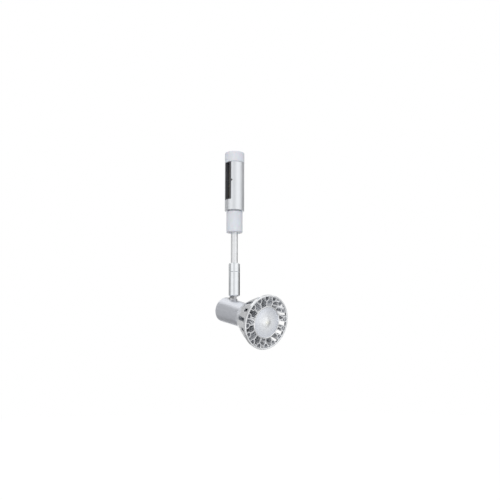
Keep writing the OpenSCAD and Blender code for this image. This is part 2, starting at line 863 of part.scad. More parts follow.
module head_leads() color("white") at_head() {
    for (s = [-1, 1])
        translate([0, s * lead_off, 0])
            rod(lead_d, -axis_drop + holder_h / 4, -lead_exit);
}

// Lamp

module fin_plan() {
    arch_x = branch_r + branch_off;
    translate([core_end_r - fin_root, -fin_t / 2])
        square([branch_r - core_end_r + fin_root + branch_t / 2, fin_t]);
    difference() {
        union() {
            translate([arch_x, 0])
                circle(r = branch_off + branch_t / 2);
            translate([arch_x, -branch_off - branch_t / 2])
                square([lamp_d / 2 - arch_x, 2 * branch_off + branch_t]);
        }
        translate([arch_x, 0])
            circle(r = branch_off - branch_t / 2);
        translate([arch_x, -branch_off + branch_t / 2])
            square([lamp_d, 2 * branch_off - branch_t]);
    }
}

module lamp_heat_sink() color("silver") at_lamp() {
    steps = 8;
    bowl_t = [for (i = [0:steps]) rim_depth - 0.2 + (sink_len - rim_depth + 0.2) * i / steps];
    bowl_back = [for (i = [steps:-1:0]) bowl_t[i]];
    rim_r = lamp_d / 2;
    core_back = core_floor + core_floor_t;
    tail_r = sink_end_d / 2 - bowl_wall / 2;
    fin_end_r = rim_in_r + fin_root;
    fin_neck_r = sink_neck_r - fin_root;
    tail_edge_t = sink_len - sink_tail_edge;
    skirt_r = rim_r - rim_skirt;
    // Rim
    turned_back([
        [rim_in_r, rim_edge], [rim_in_r + rim_edge, 0], [rim_r - rim_edge, 0], [rim_r, rim_edge],
        [rim_r, rim_depth - rim_edge], [rim_r - rim_edge, rim_depth], [skirt_r, rim_depth],
        [skirt_r, rim_lip], [rim_in_r, rim_lip]
    ]);
    // Bowl with its windows
    difference() {
        turned_back(concat(
            [for (t = bowl_t) if (t < sink_len - sink_tail_edge) [bowl_r(t), t]],
            [[bowl_r(tail_edge_t), tail_edge_t], [bowl_r(sink_len) - sink_tail_edge, sink_len]],
            [for (t = bowl_back) [bowl_r(t) - bowl_wall, t]]
        ));
        for (i = [0:fin_count - 1]) {
            depth = i % 2 == 0 ? long_window_depth : short_window_depth;
            width = i % 2 == 0 ? long_window_w : short_window_w;
            rotate(i * rib_pitch)
                box([lamp_d / 2, width, depth - rim_depth + over],
                    [core_r + over, -width / 2, -depth]);
        }
    }
    // Core cup for the lens, floor for the board and neck for the driver
    difference() {
        turned_back([
            [0, core_floor], [core_out(core_floor) - core_wall, core_floor],
            [lens_d / 2 - 0.6, core_front + lens_flange_t + seat_fit],
            [lens_d / 2 + seat_fit, core_front + lens_flange_t + seat_fit],
            [lens_d / 2 + seat_fit, core_front], [core_r, core_front],
            [core_end_r, core_back], [sink_neck_r, sink_len - sink_tail - sink_neck_taper],
            [tail_r, sink_len - sink_tail],
            [tail_r, sink_len], [sink_bore_r, sink_len], [sink_bore_r, core_back], [0, core_back]
        ]);
        rod(stud_bore, -core_back - over, -core_floor + over);
    }
    // Branching fins between the core and the bowl
    intersection() {
        translate([0, 0, -sink_len + sink_tail])
            linear_extrude(height = sink_len - sink_tail)
                for (i = [0:fin_count - 1])
                    rotate((i + 0.5) * rib_pitch)
                        fin_plan();
        turned_back(concat(
            [[core_r - fin_root, core_front + seat_fit], [core_r + fin_root, core_front + seat_fit]],
            [[fin_end_r, fin_front], [fin_end_r, rim_lip]],
            [[skirt_r + fin_root, rim_lip], [skirt_r + fin_root, rim_depth]],
            [for (t = bowl_t) if (t > rim_depth) [bowl_r(t) - bowl_wall / 2, t]],
            [[fin_neck_r, sink_len], [fin_neck_r, core_back], [core_end_r - fin_root, core_back]]
        ));
    }
}

module lens() color("whitesmoke") at_lamp() {
    steps = 8;
    face_steps = 14;
    front = core_front + seat_fit;
    turned_back(concat(
        [for (i = [0:face_steps]) let (r = lens_side_r * i / face_steps) [r, lens_face(r)]],
        [[lens_d / 2, front], [lens_d / 2, core_front + lens_flange_t]],
        [for (i = [0:steps]) let (r = lens_side_r + (lens_tail_r - lens_side_r) * i / steps)
            [r, lens_depth(r)]],
        [[lens_cavity_r, lens_tail], [lens_cavity_r, lens_tail - lens_cavity_depth],
         [0, lens_tail - lens_cavity_depth - 0.6]]
    ));
}

module lens_ring() color("gainsboro") at_lamp() {
    r1 = lens_ring_r;
    r0 = lens_d / 2 - lens_ring_lap;
    e = lens_ring_t / 3;
    back = lens_ring_t - seat_fit;
    turned_back([[r0, back], [r0, e], [r0 + e, 0], [r1 - e, 0], [r1, e], [r1, back]]);
}

module led_board() color("white") at_lamp() {
    difference() {
        rod(board_d, -core_floor, -core_floor + board_t);
        for (s = [-1, 1])
            translate([0, s * board_d / 3, 0])
                rod(stud_bore, -core_floor - over, -core_floor + board_t + over);
    }
}

module led_emitter() color("khaki") at_lamp() {
    top = -core_floor + board_t;
    dome_r = emitter_w * 0.38;
    box([emitter_w, emitter_w, 0.6], [-emitter_w / 2, -emitter_w / 2, top]);
    intersection() {
        translate([0, 0, top + 0.4])
            sphere(r = dome_r);
        rod(emitter_w, top + 0.3, top + emitter_w);
    }
}

module driver_board() color("seagreen") at_lamp() {
    t1 = driver_front + driver_len;
    choke_h = board_x * 0.65;
    box([2 * board_x, 1, driver_len], [-board_x, -0.5, -t1]);
    translate([-board_x / 3, board_x * 0.42, 0])
        rod(board_x * 0.8, -t1 + 2, -t1 + 10);
    translate([0, 0, -t1 + driver_len / 2])
        rotate([90, 0, 0])
            rod(board_x * 0.9, 0.3, choke_h);
}

module lamp_base() color("white") at_lamp() {
    spigot_r = sink_bore_r - seat_fit;
    flange_front = sink_len + seat_fit;
    difference() {
        union() {
            turned_back([
                [0, spigot_front], [spigot_r, spigot_front], [spigot_r, flange_front],
                [base_d / 2, flange_front], [base_d / 2, base_step - 1], [base_d / 2 - 1, base_step],
                [0, base_step]
            ]);
            intersection() {
                box([block_w, block_h, base_end - base_step + over],
                    [-block_w / 2, -block_h / 2, -base_end]);
                rod(block_w + 0.8, -base_end, -base_step + over);
            }
        }
        rod(2 * (spigot_r - base_wall), -base_step + base_wall, -spigot_front + over);
        each_side()
            translate([holder_x, 0, 0])
                rod(lamp_pin_d + 2 * seat_fit, -base_end - over, -base_end + 2);
    }
}

module lamp_pins() color("silver") at_lamp() {
    each_side()
        translate([holder_x, 0, 0])
            rod(lamp_pin_d, -base_end - lamp_pin_len, -base_end + 2 - seat_fit);
}

adapter_body();
slot_liner();
socket_insert();
socket_sleeves();
lower_contact();
upper_contact();
adapter_cap();
lock_collar();
plug_body();
plug_pins();
stem_tube();
stem_leads();
swivel_ring();
swivel_stud();
swivel_nut();
friction_washer();
swivel_barrel();
tilt_fork();
tilt_pin();
tilt_washers();
tilt_tongue();
sleeve_nut();
lamp_sleeve();
holder_bracket();
lampholder();
holder_contacts();
holder_screws();
head_leads();
lamp_heat_sink();
lens();
lens_ring();
led_board();
led_emitter();
driver_board();
lamp_base();
lamp_pins();
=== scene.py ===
"""Looks of a small track spotlight: finishes, moulded optic, studio and camera, around its frame."""

import json
import logging
import math
from dataclasses import dataclass, field
from enum import Enum

import bmesh
import bpy
from mathutils import Matrix, Vector

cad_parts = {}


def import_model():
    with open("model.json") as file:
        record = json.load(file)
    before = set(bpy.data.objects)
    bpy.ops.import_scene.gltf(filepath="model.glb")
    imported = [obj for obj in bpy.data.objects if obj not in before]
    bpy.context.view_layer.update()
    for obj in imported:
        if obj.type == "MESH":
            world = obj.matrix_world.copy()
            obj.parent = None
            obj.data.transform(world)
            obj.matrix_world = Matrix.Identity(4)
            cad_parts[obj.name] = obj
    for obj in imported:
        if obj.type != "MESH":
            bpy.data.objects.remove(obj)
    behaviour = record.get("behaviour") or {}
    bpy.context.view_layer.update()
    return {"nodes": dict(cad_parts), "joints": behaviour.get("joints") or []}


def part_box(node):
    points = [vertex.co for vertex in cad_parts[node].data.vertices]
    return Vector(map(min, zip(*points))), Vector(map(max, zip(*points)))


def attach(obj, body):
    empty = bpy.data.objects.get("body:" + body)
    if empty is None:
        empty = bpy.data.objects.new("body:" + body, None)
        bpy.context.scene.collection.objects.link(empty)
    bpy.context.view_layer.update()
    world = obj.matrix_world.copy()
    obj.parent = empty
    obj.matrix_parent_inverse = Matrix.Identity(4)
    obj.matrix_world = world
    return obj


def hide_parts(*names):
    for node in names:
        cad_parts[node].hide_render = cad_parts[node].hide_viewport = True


LOG = logging.getLogger("track_spotlight")
MM = 0.001

Color = tuple[float, float, float]
Point = tuple[float, float, float]
Span = tuple[float, float]
Socket = bpy.types.NodeSocket
Node = bpy.types.Node


class Working(Enum):
    """How a surface was brought to its finish."""

    MOULDED = "moulded"
    TURNED = "turned"
    BLASTED = "blasted"
    PAINTED = "painted"


class NodeTree:
    """A shader tree that is filled node by node."""

    # Colour sockets of a mix node, which share their names with its other kinds.
    MIX_A = 6
    MIX_B = 7
    MIX_RESULT = 2

    def __init__(self, tree: bpy.types.NodeTree) -> None:
        """Takes the tree to fill and empties it.

        Args:
            tree: A material's, world's or group's node tree.
        """
        self.tree = tree
        tree.nodes.clear()

    def add(self, kind: str, values: dict[str, object] | None = None, **settings: object) -> Node:
        """Adds one node.

        Args:
            kind: Node type without its ShaderNode prefix.
            values: Input socket name to a constant or to the socket that feeds it.
            settings: Properties of the node itself.

        Returns:
            The new node.
        """
        node = self.tree.nodes.new("ShaderNode" + kind)
        for name, value in settings.items():
            setattr(node, name, value)
        for name, value in (values or {}).items():
            self.feed(node.inputs[name], value)
        return node

    def feed(self, target: Socket, value: object) -> None:
        """Sets a socket to a constant, or joins it to the socket that feeds it.

        Args:
            target: Input socket.
            value: Constant or output socket.
        """
        if isinstance(value, bpy.types.NodeSocket):
            self.tree.links.new(value, target)
        else:
            target.default_value = value

    def math(self, operation: str, a: object, b: object = 0.0) -> Socket:
        """Joins two values by one operation.

        Args:
            operation: Name of the operation.
            a: First constant or socket.
            b: Second constant or socket.

        Returns:
            The result.
        """
        node = self.add("Math", operation=operation)
        self.feed(node.inputs[0], a)
        self.feed(node.inputs[1], b)
        return node.outputs[0]

    def blend(self, factor: Socket, a: object, b: object) -> Socket:
        """Blends colour a into colour b.

        Args:
            factor: Share of b, from 0 to 1.
            a: First colour or socket.
            b: Second colour or socket.

        Returns:
            The blended colour.
        """
        node = self.add("Mix", data_type="RGBA")
        self.feed(node.inputs["Factor"], factor)
        self.feed(node.inputs[self.MIX_A], a)
        self.feed(node.inputs[self.MIX_B], b)
        return node.outputs[self.MIX_RESULT]

    def noise(self, vector: Socket, scale: object, detail: float, roughness: float = 0.5) -> Socket:
        """Adds soft noise.

        Args:
            vector: Coordinates.
            scale: Size of the noise, as a constant or a socket.
            detail: Octaves.
            roughness: Weight of each finer octave.

        Returns:
            The noise, about 0.5.
        """
        values = {"Vector": vector, "Scale": scale, "Detail": detail, "Roughness": roughness}
        return self.add("TexNoise", values).outputs["Fac"]

    def bands(self, place: Socket, detail: float) -> Socket:
        """Adds noise that varies along one value only.

        Args:
            place: The value.
            detail: Octaves.

        Returns:
            The noise, about 0.5.
        """
        values = {"W": place, "Scale": 1.0, "Detail": detail}
        return self.add("TexNoise", values, noise_dimensions="1D").outputs["Fac"]

    def length(self, vector: Socket) -> Socket:
        """Measures a vector.

        Args:
            vector: The vector.

        Returns:
            Its length.
        """
        node = self.add("VectorMath", operation="LENGTH")
        self.feed(node.inputs[0], vector)
        return node.outputs["Value"]

    def off_axis(self, place: Socket) -> Socket:
        """Measures how far a place lies from the Z axis.

        Args:
            place: Coordinates of the place.

        Returns:
            The distance.
        """
        parts = self.add("SeparateXYZ", {"Vector": place})
        flat = self.add("CombineXYZ", {"X": parts.outputs["X"], "Y": parts.outputs["Y"]})
        return self.length(flat.outputs[0])

    def spread(
        self, value: Socket, low: float, high: float, to_low: float = 0.0, to_high: float = 1.0
    ) -> Socket:
        """Maps a value from one range to another, held to its ends.

        Args:
            value: What is mapped.
            low: Value that becomes to_low.
            high: Value that becomes to_high.
            to_low: Start of the new range.
            to_high: End of the new range.

        Returns:
            The mapped value.
        """
        node = self.add("MapRange", {"Value": value})
        ends = {"From Min": low, "From Max": high, "To Min": to_low, "To Max": to_high}
        for name, number in ends.items():
            node.inputs[name].default_value = number
        return node.outputs[0]


@dataclass
class Effects:
    """Shader node groups that several finishes share, each made once."""

    grain_share: float = 0.35
    drift_scale: float = 0.03
    grain_span: Span = (0.3, 0.7)
    band_pitch: float = 0.06
    patch_scale: float = 160.0
    ring_span: Span = (0.35, 0.65)
    wave_scale: float = 0.16
    bevel_samples: int = 6
    bend_span: Span = (0.995, 0.85)
    rub_scale: float = 700.0
    rub_span: Span = (0.38, 0.62)
    slope_span: Span = (0.35, 0.95)
    dust_scale: float = 900.0
    dust_span: Span = (0.4, 0.75)

    def __post_init__(self) -> None:
        """Makes the groups."""
        self.grain = self._grain()
        self.rings = self._rings()
        self.flakes = self._flakes()
        self.edges = self._edges()
        self.dust = self._dust()

    @staticmethod
    def _group(name: str, inputs: dict[str, object], outputs: dict[str, str]) -> tuple[NodeTree, Node, Node]:
        """Starts a group with named sockets.

        Args:
            name: Name of the group.
            inputs: Input name to its default number, or None for a vector.
            outputs: Output name to its socket type.

        Returns:
            The tree to fill, its input node and its output node.
        """
        group = bpy.data.node_groups.new(name, "ShaderNodeTree")
        tree = NodeTree(group)
        for label, default in inputs.items():
            kind = "NodeSocketVector" if default is None else "NodeSocketFloat"
            socket = group.interface.new_socket(label, in_out="INPUT", socket_type=kind)
            if default is not None:
                socket.default_value = default
        for label, kind in outputs.items():
            group.interface.new_socket(label, in_out="OUTPUT", socket_type=kind)
        return tree, group.nodes.new("NodeGroupInput"), group.nodes.new("NodeGroupOutput")

    def _marks(self, name: str, size: str) -> tuple[NodeTree, Node, Node]:
        """Starts a group of surface marks, which gives their height and tone.

        Args:
            name: Name of the group.
            size: Name of the input that sets how fine the marks are.

        Returns:
            The tree to fill, its input node and its output node.
        """
        outputs = {"Height": "NodeSocketFloat", "Tone": "NodeSocketFloat"}
        return self._group(name, {"Vector": None, size: 4000.0}, outputs)

    def _grain(self) -> bpy.types.NodeTree:
        """Makes fine even grain, as of a moulding tool or blasting, with a slow drift of tone.

        Returns:
            The group.
        """
        tree, start, end = self._marks("surface_grain", "Scale")
        vector, scale = start.outputs["Vector"], start.outputs["Scale"]
        fine = tree.noise(vector, scale, 3.0, 0.6)
        slow = tree.noise(vector, tree.math("MULTIPLY", scale, self.drift_scale), 4.0, 0.55)
        mixed = tree.math(
            "ADD",
            tree.math("MULTIPLY", fine, self.grain_share),
            tree.math("MULTIPLY", slow, 1.0 - self.grain_share),
        )
        tree.feed(end.inputs["Height"], fine)
        tree.feed(end.inputs["Tone"], tree.spread(mixed, *self.grain_span))
        return tree.tree

    def _rings(self) -> bpy.types.NodeTree:
        """Makes rings round the Z axis, which a lathe tool leaves on sides and end faces.

        Returns:
            The group.
        """
        tree, start, end = self._marks("lathe_rings", "Pitch")
        vector = start.outputs["Vector"]
        parts = tree.add("SeparateXYZ", {"Vector": vector})
        along = tree.math("ADD", parts.outputs["Z"], tree.off_axis(vector))
        place = tree.math("MULTIPLY", along, start.outputs["Pitch"])
        fine = tree.bands(place, 3.0)
        slow = tree.bands(tree.math("MULTIPLY", place, self.band_pitch), 2.0)
        patch = tree.noise(vector, self.patch_scale, 3.0)
        tree.feed(end.inputs["Height"], tree.math("ADD", fine, slow))
        mean = tree.math("MULTIPLY", tree.math("ADD", slow, patch), 0.5)
        tree.feed(end.inputs["Tone"], tree.spread(mean, *self.ring_span))
        return tree.tree

    def _flakes(self) -> bpy.types.NodeTree:
        """Makes metal flakes under lacquer, with the slight waviness of sprayed paint.

        Returns:
            The group.
        """
        tree, start, end = self._marks("paint_flakes", "Scale")
        vector, scale = start.outputs["Vector"], start.outputs["Scale"]
        cells = tree.add("TexVoronoi", {"Vector": vector, "Scale": scale}, feature="F1")
        shade = tree.add("SeparateColor", {"Color": cells.outputs["Color"]})
        wave = tree.noise(vector, tree.math("MULTIPLY", scale, self.wave_scale), 2.0)
        tree.feed(end.inputs["Height"], wave)
        tree.feed(end.inputs["Tone"], shade.outputs[0])
        return tree.tree

    def _edges(self) -> bpy.types.NodeTree:
        """Makes softened edges, and a broken mask of where handling has rubbed them.

        Returns:
            The group.
        """
        tree, start, end = self._group(
            "rubbed_edges",
            {"Vector": None, "Radius": 0.00025},
            {"Edge": "NodeSocketFloat", "Normal": "NodeSocketVector"},
        )
        soft = tree.add("Bevel", {"Radius": start.outputs["Radius"]}, samples=self.bevel_samples)
        face = tree.add("NewGeometry")
        turned = tree.add("VectorMath", operation="DOT_PRODUCT")
        tree.feed(turned.inputs[0], soft.outputs["Normal"])
        tree.feed(turned.inputs[1], face.outputs["Normal"])
        bend = tree.spread(turned.outputs["Value"], *self.bend_span)
        patch = tree.noise(start.outputs["Vector"], self.rub_scale, 3.0)
        broken = tree.spread(patch, *self.rub_span)
        tree.feed(end.inputs["Edge"], tree.math("MULTIPLY", bend, broken))
        tree.feed(end.inputs["Normal"], soft.outputs["Normal"])
        return tree.tree

    def _dust(self) -> bpy.types.NodeTree:
        """Makes thin dust on faces that look up.

        Returns:
            The group.
        """
        tree, start, end = self._group("settled_dust", {"Vector": None}, {"Dust": "NodeSocketFloat"})
        face = tree.add("NewGeometry")
        up = tree.add("SeparateXYZ", {"Vector": face.outputs["Normal"]})
        lying = tree.spread(up.outputs["Z"], *self.slope_span)
        specks = tree.noise(start.outputs["Vector"], self.dust_scale, 5.0)
        tree.feed(end.inputs["Dust"], tree.math("MULTIPLY", lying, tree.spread(specks, *self.dust_span)))
        return tree.tree


@dataclass(frozen=True)
class Axis:
    """Line that a piece was turned about: a point on it and its direction."""

    point: Point = (0.0, 0.0, 0.0)
    direction: Point = (0.0, 0.0, 1.0)

    def matrix(self) -> Matrix:
        """Returns the matrix that carries the Z axis onto this line."""
        turn = Vector(self.direction).to_track_quat("Z", "Y").to_matrix().to_4x4()
        return Matrix.Translation(self.point) @ turn


UPRIGHT = Axis()


@dataclass(frozen=True)
class Finish:
    """A surface finish: its shader values and the marks that its making and use left."""

    name: str
    color: Color
    roughness: float
    working: Working = Working.MOULDED
    metallic: float = 0.0
    scale: float = 4000.0
    relief: float = 0.12
    depth: float = 0.00004
    tone: float = 0.05
    polish: float = 0.04
    edge_radius: float = 0.0002
    rubbed: Color = (0.9, 0.9, 0.9)
    wear: float = 0.0
    dust: float = 0.0
    dust_color: Color = (0.62, 0.60, 0.57)
    coat: float = 0.0
    coat_roughness: float = 0.12
    ior: float = 1.5
    subsurface: float = 0.0
    subsurface_radius: float = 0.001

    def shade(self, factor: float) -> tuple[float, float, float, float]:
        """Returns the finish's colour times a factor."""
        return (*(min(1.0, part * factor) for part in self.color), 1.0)

    def material(self, effects: Effects, axis: Axis = UPRIGHT) -> bpy.types.Material:
        """Makes the finish's material.

        Args:
            effects: Shared node groups.
            axis: Line that the marks run round.

        Returns:
            The new material.
        """
        material = bpy.data.materials.new(self.name)
        material.use_nodes = True
        tree = NodeTree(material.node_tree)
        shader = tree.add("BsdfPrincipled")
        output = tree.add("OutputMaterial")
        tree.feed(output.inputs["Surface"], shader.outputs[0])
        place = self._place(tree, axis)
        marks = self._marks(tree, effects, place)
        edges = tree.add("Group", {"Vector": place, "Radius": self.edge_radius}, node_tree=effects.edges)
        color = self._color(tree, marks.outputs["Tone"], place)
        if self.wear:
            rubbed = tree.math("MULTIPLY", edges.outputs["Edge"], self.wear)
            color = tree.blend(rubbed, color, (*self.rubbed, 1.0))
        if self.dust:
            layer = tree.add("Group", {"Vector": place}, node_tree=effects.dust)
            settled = tree.math("MULTIPLY", layer.outputs["Dust"], self.dust)
            color = tree.blend(settled, color, (*self.dust_color, 1.0))
        tree.feed(shader.inputs["Base Color"], color)
        low, high = max(0.0, self.roughness - self.polish), self.roughness + self.polish
        tree.feed(shader.inputs["Roughness"], tree.spread(marks.outputs["Tone"], 0.0, 1.0, low, high))
        bump = tree.add("Bump", {"Height": marks.outputs["Height"], "Normal": edges.outputs["Normal"]})
        bump.inputs["Strength"].default_value = self.relief
        bump.inputs["Distance"].default_value = self.depth
        tree.feed(shader.inputs["Normal"], bump.outputs["Normal"])
        self._set_shader(shader)
        return material

    def _color(self, tree: NodeTree, tone: Socket, place: Socket) -> Socket:
        """Returns the colour before wear and dust, drifting with the tone of the marks.

        Args:
            tree: The material's tree.
            tone: Tone of the marks, from 0 to 1.
            place: Coordinates on the piece, which a finish may use.

        Returns:
            The colour.
        """
        return tree.blend(tone, self.shade(1.0 - self.tone), self.shade(1.0 + self.tone))

    def _place(self, tree: NodeTree, axis: Axis) -> Socket:
        """Returns object coordinates, turned so that Z runs along the axis.

        Args:
            tree: The material's tree.
            axis: Line that the marks run round.

        Returns:
            The turned coordinates.
        """
        coordinates = tree.add("TexCoord")
        turn = tree.add("Mapping", {"Vector": coordinates.outputs["Object"]}, vector_type="TEXTURE")
        turn.inputs["Location"].default_value = axis.point
        turn.inputs["Rotation"].default_value = axis.matrix().to_euler()
        return turn.outputs["Vector"]

    def _marks(self, tree: NodeTree, effects: Effects, place: Socket) -> Node:
        """Adds the group of marks that suits the way of working.

        Args:
            tree: The material's tree.
            effects: Shared node groups.
            place: Coordinates of the marks.

        Returns:
            The group node, with Height and Tone.
        """
        groups = {Working.TURNED: effects.rings, Working.PAINTED: effects.flakes}
        group = groups.get(self.working, effects.grain)
        marks = tree.add("Group", {"Vector": place}, node_tree=group)
        marks.inputs["Pitch" if self.working is Working.TURNED else "Scale"].default_value = self.scale
        return marks

    def _set_shader(self, shader: Node) -> None:
        """Sets the values that are the same all over the surface.

        Args:
            shader: The material's shader.
        """
        shader.inputs["Metallic"].default_value = self.metallic
        shader.inputs["IOR"].default_value = self.ior
        shader.inputs["Coat Weight"].default_value = self.coat
        shader.inputs["Coat Roughness"].default_value = self.coat_roughness
        shader.inputs["Subsurface Weight"].default_value = self.subsurface
        shader.inputs["Subsurface Scale"].default_value = self.subsurface_radius


@dataclass(frozen=True)
class LensFinish(Finish):
    """Frosted optic with painted light: its colour is painted lighter towards its middle, with a warm
    painted glow of the light source behind it.
    """

    # Painted light: middle is the lighter colour painted towards the optic's middle, and source is the warm
    # glow of the light source painted at its very middle.
    middle: Color = (0.96, 0.97, 0.97)
    source: Color = (0.97, 0.97, 0.88)
    painted_middle_light_radius: float = 0.0115
    painted_led_glow_radius: float = 0.0026

    def _color(self, tree: NodeTree, tone: Socket, place: Socket) -> Socket:
        """Returns the colour, painted lighter towards the middle, with a painted glow of the light source
        there.

        Args:
            tree: The material's tree.
            tone: Tone of the marks, from 0 to 1.
            place: Coordinates on the piece, with Z along its axis.

        Returns:
            The colour.
        """
        edge = super()._color(tree, tone, place)
        # Painted light: blends towards the lighter middle colour, then towards the warm painted glow of the
        # light source at the very middle.
        radius = tree.off_axis(place)
        inward = tree.spread(radius, self.painted_middle_light_radius, 0.0)
        glow = tree.blend(inward, edge, (*self.middle, 1.0))
        near = tree.spread(radius, self.painted_led_glow_radius, 0.0)
        return tree.blend(near, glow, (*self.source, 1.0))


SATIN_ALUMINIUM = Finish(
    "satin_aluminium", (0.815, 0.838, 0.868), 0.37, Working.BLASTED, metallic=1.0, scale=6000.0, relief=0.10,
    tone=0.03, polish=0.04, rubbed=(0.92, 0.92, 0.92), wear=0.35, dust=0.10,
)
STEM_ALUMINIUM = Finish(
    "stem_aluminium", (0.87, 0.88, 0.895), 0.44, Working.BLASTED, metallic=1.0, scale=6000.0, relief=0.08,
    tone=0.03, polish=0.04, rubbed=(0.92, 0.92, 0.92), wear=0.3, dust=0.06,
)
BRIGHT_CHROME = Finish(
    "bright_chrome", (0.87, 0.895, 0.92), 0.11, Working.TURNED, metallic=1.0, scale=4000.0, relief=0.05,
    depth=0.00001, tone=0.02, polish=0.03, dust=0.06,
)
PALE_PLASTIC = Finish(
    "pale_plastic", (0.664, 0.684, 0.735), 0.46, scale=5200.0, relief=0.16, tone=0.03, polish=0.06,
    rubbed=(0.80, 0.82, 0.86), wear=0.4, dust=0.12, subsurface=0.10, subsurface_radius=0.0006,
)
DARK_PLASTIC = Finish(
    "dark_plastic", (0.070, 0.072, 0.078), 0.52, scale=4200.0, relief=0.2, tone=0.12, polish=0.06,
    rubbed=(0.16, 0.16, 0.17), wear=0.5, dust=0.15, dust_color=(0.30, 0.29, 0.28),
)
WHITE_PLASTIC = Finish(
    "white_plastic", (0.80, 0.80, 0.77), 0.42, scale=4800.0, relief=0.14, tone=0.03, wear=0.3,
)
CONTACT_BRASS = Finish(
    "contact_brass", (0.80, 0.60, 0.28), 0.26, Working.TURNED, metallic=1.0, scale=5000.0, relief=0.08,
    depth=0.00001, tone=0.10, polish=0.08, rubbed=(0.92, 0.78, 0.48), wear=0.5,
)
TURNED_STEEL = Finish(
    "turned_steel", (0.75, 0.755, 0.77), 0.14, Working.TURNED, metallic=1.0, scale=3500.0, relief=0.10,
    depth=0.00001, tone=0.06, polish=0.05, rubbed=(0.8, 0.8, 0.79), wear=0.5,
)
BURNISHED_STEEL = Finish(
    "burnished_steel", (0.58, 0.585, 0.60), 0.12, Working.TURNED, metallic=1.0, scale=3500.0, relief=0.10,
    depth=0.00001, tone=0.06, polish=0.05, rubbed=(0.8, 0.8, 0.79), wear=0.35,
)
LEAD_INSULATION = Finish(
    "lead_insulation", (0.74, 0.72, 0.68), 0.40, scale=3000.0, relief=0.10, tone=0.05, edge_radius=0.0001,
)
SILVER_PAINT = Finish(
    "silver_paint", (0.772, 0.792, 0.845), 0.35, Working.PAINTED, metallic=0.85, scale=5200.0, relief=0.10,
    depth=0.00003, tone=0.05, edge_radius=0.0001, rubbed=(0.82, 0.82, 0.83), wear=0.15, dust=0.12,
    coat=0.15, coat_roughness=0.25,
)
CAST_ALUMINIUM = Finish(
    "cast_aluminium", (0.857, 0.868, 0.888), 0.15, Working.BLASTED, metallic=0.70, scale=3800.0, relief=0.10,
    tone=0.04, polish=0.05, edge_radius=0.00015, rubbed=(0.93, 0.93, 0.94), wear=0.5, dust=0.08,
)
POLISHED_RING = Finish(
    "polished_ring", (0.86, 0.865, 0.875), 0.14, Working.TURNED, metallic=1.0, scale=4200.0, relief=0.06,
    depth=0.00001, tone=0.03, polish=0.04, edge_radius=0.0001, rubbed=(0.94, 0.94, 0.94), wear=0.4,
)
# The optic's material, which carries the painted light and painted glow of LensFinish.
FROSTED_LENS_PAINTED_GLOW = LensFinish(
    "frosted_lens_painted_glow", (0.752, 0.78, 0.836), 0.16, metallic=0.5, scale=5200.0, relief=0.008, depth=0.00002,
    tone=0.012, polish=0.02, ior=1.49, dust=0.05,
)
WHITE_BOARD = Finish("white_board", (0.80, 0.81, 0.80), 0.38, scale=3500.0, relief=0.08, tone=0.03)
GREEN_BOARD = Finish("green_board", (0.05, 0.20, 0.11), 0.36, scale=2600.0, relief=0.12, tone=0.14, coat=0.3)
PHOSPHOR = Finish("phosphor", (0.92, 0.78, 0.30), 0.45, scale=5200.0, relief=0.10, tone=0.06)


class Wardrobe:
    """Materials made so far, one for each finish and axis."""

    def __init__(self, nodes: dict[str, bpy.types.Object]) -> None:
        """Takes the frame's nodes.

        Args:
            nodes: Node name to its object.
        """
        self.nodes = nodes
        self.effects = Effects()
        self._made: dict[tuple[str, Axis], bpy.types.Material] = {}

    def material(self, finish: Finish, axis: Axis = UPRIGHT) -> bpy.types.Material:
        """Returns the material of a finish whose marks run round an axis.

        Args:
            finish: The finish.
            axis: Line that its marks run round.

        Returns:
            The material, made on its first use.
        """
        key = (finish.name, axis)
        if key not in self._made:
            self._made[key] = finish.material(self.effects, axis)
        return self._made[key]

    def dress(self, name: str, finish: Finish, axis: Axis = UPRIGHT) -> None:
        """Gives a node of the frame its finish.

        Args:
            name: Node of the frame.
            finish: The finish.
            axis: Line that its marks run round.
        """
        for slot in self.nodes[name].material_slots:
            slot.material = self.material(finish, axis)
        LOG.info("dressed %s in %s", name, finish.name)


